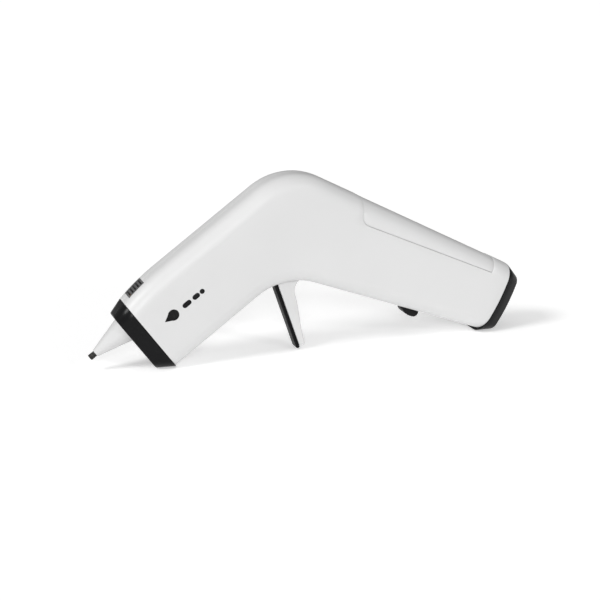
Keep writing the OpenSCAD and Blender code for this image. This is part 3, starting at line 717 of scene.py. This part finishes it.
def screwPlaces():
    frames = {"barrel": inBarrel, "handle": inHandle}
    return [frames[where](x, z) for where, x, z in openings["screws"]]


def halfShell(name, side):
    rings = []
    stations = bodyStations()
    firstBulged = len(stations) - bodyShape["endSteps"] - 1
    for k, (station, inset) in enumerate(stations):
        height = (station[1] - station[0]).length
        outer = onStation(station, halfSection(height, inset, bodyShape["seam"]), side)
        inner = onStation(station, halfSection(height, bodyShape["wall"]), side)
        ring = outer + inner[::-1]
        rings.append(bulged(ring) if k >= firstBulged else ring)
    shell = loft(name, rings)
    w = halfWidth
    low, high = sorted((side * (w - 0.8), side * (w - 3)))
    extras = [block("ledge", 56, 126, low, high, -24.3, -22.8, inHandle)]
    extras += [rod("boss", p, openings["bossRadius"], min(0, side * (w - 1)), max(0, side * (w - 1)))
               for p in screwPlaces()]
    combine(shell, extras, "UNION")
    slotX, slotLength, slotWidth = openings["triggerSlot"]
    slotX += underCorner.x
    travel = openings["switchTravel"] + 4
    ventFront, ventRear, ventWidth = openings["vent"]
    wall = bodyShape["wall"]
    cuts = [
        prism("lidCut", lidOutline(openings["lidGap"]), -40, 40, inHandle),
        block("triggerCut", slotX, slotX + slotLength, -slotWidth / 2, slotWidth / 2,
              underCorner.y - 14, underCorner.y + 0.5, inWorld),
        block("switchCut", openings["switchAt"] - travel / 2, openings["switchAt"] + travel / 2,
              -2, 2, -1, wall + 1, inUnderside),
        block("ventCut", ventFront, ventRear, -ventWidth / 2, ventWidth / 2,
              bodyShape["muzzleDepth"] - wall - 2, bodyShape["muzzleDepth"] + 4, inBarrel),
    ]
    if side > 0:
        cuts += [rod("headCut", p, openings["screwHead"], openings["screwSeat"], w + 2)
                 for p in screwPlaces()]
    combine(shell, cuts, "DIFFERENCE")
    soften(shell, 0.18, 2)
    return shell


def makeShells():
    for name, node, side in (("shell_left", "left_shell", -1), ("shell_right", "right_shell", 1)):
        finishPiece(halfShell(name, side), "body", materials["white_shell"], [node])


# battery lid

lidShape = {
    "sink": 0.25, "grow": 0.15, "tabs": (51.0, 127.0), "tabLength": 5.0,
    "tabInner": 8.6, "tabOuter": 9.7, "tabTop": -3.5, "tabReach": 1.2,
}


def makeLid():
    rings = []
    stations = [station for station, inset in bodyStations() if inset == 0]
    first = bodyShape["barrelSteps"] + bodyShape["elbowSteps"] - 8
    for station in stations[first:] + [handleStation(1.0)]:
        height = (station[1] - station[0]).length
        outer = halfSection(height, lidShape["sink"])
        inner = halfSection(height, bodyShape["wall"])
        arch = len(outer) // 2 + 1
        over = onStation(station, outer[arch:0:-1], 1) + onStation(station, outer[:arch + 1], -1)
        under = onStation(station, inner[arch:0:-1], -1) + onStation(station, inner[:arch + 1], 1)
        rings.append(over + under)
    lid = loft("lid_cover", rings)
    combine(lid, [prism("lidBlank", lidOutline(lidShape["grow"]), -40, 40, inHandle)], "INTERSECT")
    for side in (-1, 1):
        low, high = sorted((side * lidShape["tabInner"], side * lidShape["tabOuter"]))
        tabs = [block("tab", a, a + lidShape["tabLength"], low, high, lidEdge(a) - lidShape["tabReach"],
                      lidShape["tabTop"], inHandle) for a in lidShape["tabs"]]
        combine(lid, tabs, "UNION")
    soften(lid, 0.22, 2)
    finishPiece(lid, "lid", materials["white_shell"], ["battery_lid"])


# black trims at both ends

trim = {
    "bezelDepth": 8.7, "bezelIn": 2.1, "bezelLow": 0.8, "bezelTopDrop": 2.4, "bezelRound": 0.7,
    "capDepth": 8.8, "capIn": 4.3, "capLow": 1.7, "capRound": 0.8, "lip": 2.6, "lipWall": 1.2, "lipFit": 0.15,
    "stickZ": 31.2, "coverHole": 7.2, "inletDrop": 27.8, "inletBore": 3.75, "inletBoss": 5.4,
    "socketDrop": 13.0,
}


def bezelRing(x, g):
    t = x / trim["bezelDepth"]
    low = x * math.tan(math.radians(bodyShape["barrelPitch"])) - trim["bezelLow"] + g
    outline = wholeOutline(low, bodyShape["muzzleDepth"] - trim["bezelTopDrop"] * t - g,
                           halfWidth - trim["bezelIn"] * t - g, bodyShape["edgeRadius"] - 1.2 * t - g)
    return [at(inBarrel(-x, z), y) for y, z in outline]


def capRing(x, g):
    d = trim["capIn"] * max(0.0, x) / trim["capDepth"] + g
    outline = wholeOutline(-rearHeight - trim["capLow"] + d, -d, halfWidth - d, bodyShape["edgeRadius"] - d)
    return [at(inHandle(bodyShape["handleLength"] + x + rearBulge(z), z), y) for y, z in outline]


def at(p, y):
    return (p.x, y, p.y)


def roundedRings(ring, depth, radius, steps=5):
    # rings of a form whose outer edge, at its full depth, is rounded
    turns = [math.radians(90 * i / steps) for i in range(steps + 1)]
    rounded = [ring(depth - radius * (1 - math.sin(a)), radius * (1 - math.cos(a))) for a in turns]
    start = [ring(x, g) for x, g in ((0.0, 0.25), (0.08, 0.08), (0.25, 0.0), (depth / 2, 0.0))]
    return start + rounded


def lipTube(name, x0, x1, lo, hi, w, r, place):
    # thin collar that goes inside the shells
    def bar(label, inset, ends):
        outline = wholeOutline(lo + inset, hi - inset, w - inset, r - inset)
        return loft(label, [[at(place(x, z), y) for y, z in outline] for x in ends])
    tube = bar(name, 0.0, (x0, x1))
    core = bar("core", trim["lipWall"], (x0 - 1, x1 + 1))
    combine(tube, [core], "DIFFERENCE")
    return tube


def tableCut():
    return block("table", -200, 200, -50, 50, -20, 0, inWorld)


def makeBezel():
    depth = trim["bezelDepth"]
    bezel = loft("muzzle_bezel", roundedRings(bezelRing, depth, trim["bezelRound"]))
    fit = bodyShape["wall"] + trim["lipFit"]
    muzzle = bodyShape["muzzleDepth"]
    combine(bezel, [loft("hollow", [bezelRing(depth - 2, 2), bezelRing(-1, 2.4)])], "DIFFERENCE")
    lip = lipTube("lip", -0.6, trim["lip"], fit, muzzle - fit, halfWidth - fit,
                  bodyShape["edgeRadius"] - fit, inBarrel)
    flange = lipTube("flange", -0.8, -0.05, 1.6, muzzle - 1, halfWidth - 1,
                     bodyShape["edgeRadius"] - 1, inBarrel)
    combine(bezel, [flange, lip], "UNION")
    hole = revolve("hole", [(0.0, -depth - 1), (trim["coverHole"], -depth - 1), (trim["coverHole"], 0.5),
                            (0.0, 0.5)], inBarrel, trim["stickZ"])
    combine(bezel, [hole, tableCut()], "DIFFERENCE")
    finishPiece(bezel, "body", materials["black_trim"], ["front_bezel"], 30)


def makeRearCap():
    depth, length = trim["capDepth"], bodyShape["handleLength"]
    cap = loft("tail_cap", roundedRings(capRing, depth, trim["capRound"]))
    combine(cap, [loft("hollow", [capRing(-2, 2.4), capRing(depth - 3, 2)])], "DIFFERENCE")
    fit = bodyShape["wall"] + trim["lipFit"]
    lip = lipTube("lip", length - trim["lip"], length + 0.8 + bodyShape["rearSag"],
                  -rearHeight + fit, -fit, halfWidth - fit, bodyShape["edgeRadius"] - fit, inHandle)
    drop = -trim["inletDrop"]
    boss = revolve("boss", [(0.0, length - 2), (trim["inletBoss"], length - 2),
                            (trim["inletBoss"], length + depth - 0.4), (0.0, length + depth - 0.4)],
                   inHandle, drop)
    combine(cap, [lip, boss], "UNION")
    bore, end = trim["inletBore"], length + depth + rearBulge(drop)
    hole = revolve("inlet", [
        (0.0, length - 4), (bore, length - 4), (bore, end - 1.0), (bore + 0.3, end - 0.6),
        (bore + 1.2, end + 0.2), (bore + 1.2, end + 2), (0.0, end + 2)], inHandle, drop)
    socket = block("socket", length - 1, end + 3, -4.6, 4.6, -trim["socketDrop"] - 1.75,
                   -trim["socketDrop"] + 1.75, inHandle)
    combine(cap, [hole, socket, tableCut()], "DIFFERENCE")
    finishPiece(cap, "body", materials["black_trim"], ["rear_cap"], 30)


# nozzle

nozzle = {
    "front": -27.6, "coverRadius": 7.1, "flange": 8.4, "inner": 6.15,
    "tipRadius": 1.6, "tipLength": 3.7,
}


def makeNozzle():
    front, r, tip = nozzle["front"], nozzle["coverRadius"], nozzle["tipRadius"]
    back = -trim["bezelDepth"] + 2
    cover = revolve("nozzle_sleeve", [
        (nozzle["inner"], back + 1.7), (nozzle["flange"], back + 1.7), (nozzle["flange"], back + 0.05),
        (r, back + 0.05), (r, back - 2), (r - 0.12, back - 2.3), (tip + 0.62, front + 0.5),
        (tip + 0.45, front + 0.15), (tip + 0.25, front), (1.6, front), (1.5, front + 0.1),
        (1.5, front + 2), (2.3, front + 2.2), (nozzle["inner"], back - 2)], inBarrel, trim["stickZ"])
    finishPiece(cover, "body", materials["nozzle_plastic"], ["nozzle_cover"])
    end = front - nozzle["tipLength"]
    point = revolve("metal_tip", [
        (0.7, end + 0.05), (0.78, end), (tip - 0.4, end), (tip - 0.15, end + 0.1), (tip, end + 0.4),
        (tip, front - 1.2), (tip - 0.15, front - 1.05), (tip - 0.15, front - 0.8), (tip, front - 0.65),
        (tip, front - 0.1), (1.4, front - 0.1), (1.4, front + 4), (0.7, front + 4)],
        inBarrel, trim["stickZ"], 48)
    finishPiece(point, "body", materials["tip_metal"], ["nozzle_tip"])


# trigger

trigger = {
    "lean": 18.9, "tipBack": 8.0, "tipUp": 0.5, "width": 6.6, "pad": 2.0,
    "hub": (18.4, 45.7), "hubRadius": 4.5, "arm": 18.0, "pull": 18.0,
    "armIn": 7.65, "armOut": 9.45, "pinBore": 1.56, "driveBore": 1.5,
    "blend": (17.2, 28.5, 8.0),
}
triggerTip = Vector((underCorner.x + trigger["tipBack"], trigger["tipUp"]))
triggerAlong = direction(trigger["lean"])
triggerUp = direction(trigger["lean"] + 90)


def inTrigger(x, z):
    return triggerTip + x * triggerAlong + z * triggerUp


pivot = inTrigger(*trigger["hub"])
driveUp = direction(90 + bodyShape["barrelPitch"] - trigger["pull"] / 2)
driveAt = pivot + trigger["arm"] * driveUp


def makeTriggerLever():
    half = trigger["width"] / 2
    bx, bz, br = trigger["blend"]
    hx, hz = trigger["hub"]
    blend = [(bx - br * math.cos(math.radians(7.5 * i)), bz + br * math.sin(math.radians(7.5 * i)))
             for i in range(13)]
    outline = [(trigger["pad"], 0.9), (4.6, 0.7), (5.3, 1.3), (5.6, 3), (6.3, 10),
               (7.8, 18.2), (8.9, 25)] + blend
    outline += [(hx + 3.3, hz - 2.4), (hx, hz + 4), (hx - 9, hz + 0.5), (trigger["pad"], 43)]
    lever = prism("trigger_blade", outline, -half, half, inTrigger)
    soften(lever, 0.7, 4, 50)
    n = Vector((driveUp.y, -driveUp.x))
    arm = [pivot + 4.2 * n, driveAt + 2.6 * n, driveAt - 2.6 * n, pivot - 4.2 * n]
    parts = [rod("hub", pivot, trigger["hubRadius"], -trigger["armOut"], trigger["armOut"])]
    for side in (-1, 1):
        low, high = sorted((side * trigger["armIn"], side * trigger["armOut"]))
        parts.append(prism("arm", [(p.x, p.y) for p in arm], low, high, inWorld))
        parts.append(rod("eye", driveAt, 2.8, low, high))
    combine(lever, parts, "UNION")
    combine(lever, [rod("pivotBore", pivot, trigger["pinBore"], -20, 20),
                    rod("driveBore", driveAt, trigger["driveBore"], -20, 20)], "DIFFERENCE")
    finishPiece(lever, "trigger", materials["white_shell"], ["trigger_lever"])


def makeTriggerPad():
    half = trigger["width"] / 2
    outline = [(0.3, 0.25), (0.9, 0), (trigger["pad"], 0.4), (trigger["pad"], 41),
               (0.4, 41), (0, 40.4), (0, 0.8)]
    pad = prism("trigger_grip", outline, -half, half, inTrigger)
    soften(pad, 0.5, 4, 30)
    # fine line round the pad where the soft face meets its carrier
    groove = 0.12
    cuts = []
    for side in (-1, 1):
        low, high = sorted((side * (half - groove), side * (half + 1)))
        cuts.append(block("line", 1.05, 1.25, low, high, 1.2, 39.8, inTrigger))
    combine(pad, cuts, "DIFFERENCE")
    soften(pad, 0.05, 1, 60)
    finishPiece(pad, "trigger", materials["black_grip"], ["trigger_pad"])


# power switch knob

thumb = {"gap": 0.5, "halfWidth": 4.0, "ribs": 4, "ribPitch": 1.5, "ribWidth": 0.6, "ribHalf": 3.2}


def makeKnob():
    gap, half = thumb["gap"], thumb["halfWidth"]
    rest = openings["switchAt"] - openings["switchTravel"] / 2
    outline = [(-4.9, -gap), (-5, -gap - 1.2), (-4.5, -gap - 2), (-3.1, -gap - 2.9), (-1, -gap - 3.5),
               (1.4, -gap - 3.7), (3.1, -gap - 3.4), (4.2, -gap - 2.4), (4.6, -gap - 1.2), (4.6, -gap)]
    knob = prism("switch_thumb", [(rest + x, z) for x, z in outline], -half, half, inUnderside)
    soften(knob, 0.3, 3, 25)
    ribs = []
    for i in range(thumb["ribs"]):
        front = rest - 2.6 + thumb["ribPitch"] * i
        ribs.append(block("rib", front, front + thumb["ribWidth"], -thumb["ribHalf"], thumb["ribHalf"],
                          -gap - 4, -gap - 1.85 - 0.24 * i, inUnderside))
    combine(knob, ribs, "DIFFERENCE")
    stem = block("stem", rest - 1.6, rest + 1.6, -1.5, 1.5, -gap - 0.2,
                 bodyShape["wall"] + 1.2, inUnderside)
    combine(knob, [stem], "UNION")
    soften(knob, 0.06, 1, 60)
    finishPiece(knob, "switch", materials["black_trim"], ["switch_knob"])


# printed mark on the barrel's side: a glue drop and the bead it leaves

mark = {"along": 12.6, "up": 24.8, "drop": 3.0, "beads": [(10.6, 2.6), (17.2, 1.6), (22.0, 0.0)],
        "beadRadius": 1.35, "thickness": 0.04}


def sidePoint(s, up):
    height = bodyShape["barrelDepth"] - muzzleDip(s)
    v = (up - height / 2) / (height / 2)
    return halfWidth + bodyShape["sideCrown"] * (1 - v * v)


def printedPatch(name, outline):
    # thin plate that follows the side of the barrel
    n = len(outline)
    cx, cz = (sum(p[k] for p in outline) / n for k in (0, 1))
    points, faces = [], []
    for lift in (mark["thickness"], -0.05):
        for x, z in outline + [(cx, cz)]:
            p = inBarrel(x, z)
            points.append((p.x, -sidePoint(x, z) - lift, p.y))
    for i in range(n):
        j = (i + 1) % n
        faces += [(i, j, n), (n + 1 + j, n + 1 + i, 2 * n + 1), (i, j, n + 1 + j, n + 1 + i)]
    return newPiece(name, points, faces)


def makeMark():
    r, x0, up = mark["drop"], mark["along"] + mark["drop"], mark["up"]
    turns = [math.radians(a) for a in range(-140, 141, 7)]
    drop = [(x0 + r * math.cos(a), up + r * math.sin(a)) for a in turns] + [(x0 - 2.0 * r + 0.3, up)]
    patches = [printedPatch("flow_mark", drop)]
    for start, length in mark["beads"]:
        x, b = mark["along"] + start, mark["beadRadius"]
        right = [math.radians(a) for a in range(-90, 91, 10)]
        left = [math.radians(a) for a in range(90, 271, 10)]
        bead = [(x + length + b * math.cos(a), up + b * math.sin(a)) for a in right]
        bead += [(x + b * math.cos(a), up + b * math.sin(a)) for a in left]
        patches.append(printedPatch("bead", bead))
    piece = patches[0]
    with bpy.context.temp_override(active_object=piece, selected_editable_objects=patches):
        bpy.ops.object.join()
    finishPiece(piece, "body", materials["black_trim"])


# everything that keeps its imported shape

def dressNodes():
    slots = {row["node"]: row["material_slot"] for row in frame["record"]["subparts"]}
    for name, node in frame["nodes"].items():
        node.data.materials.clear()
        node.data.materials.append(materials[slots[name]])


def softenNode(name, width):
    modifier = frame["nodes"][name].modifiers.new("softEdges", "BEVEL")
    modifier.width = width * mm
    modifier.segments = 2
    modifier.limit_method = "ANGLE"
    modifier.angle_limit = math.radians(40)


makeCamera()
makeStudio()
makeFloor()
print("camera, lamps and floor made")
dressNodes()
for name, width in (("vent_grille", 0.12), ("shell_screws", 0.12), ("charge_socket", 0.1)):
    softenNode(name, width)
print("packed nodes dressed")
makeShells()
print("shells made")
makeLid()
print("lid made")
makeBezel()
makeRearCap()
print("trims made")
makeNozzle()
makeTriggerLever()
makeTriggerPad()
makeKnob()
print("nozzle, trigger and knob made")
makeMark()
print("mark made")
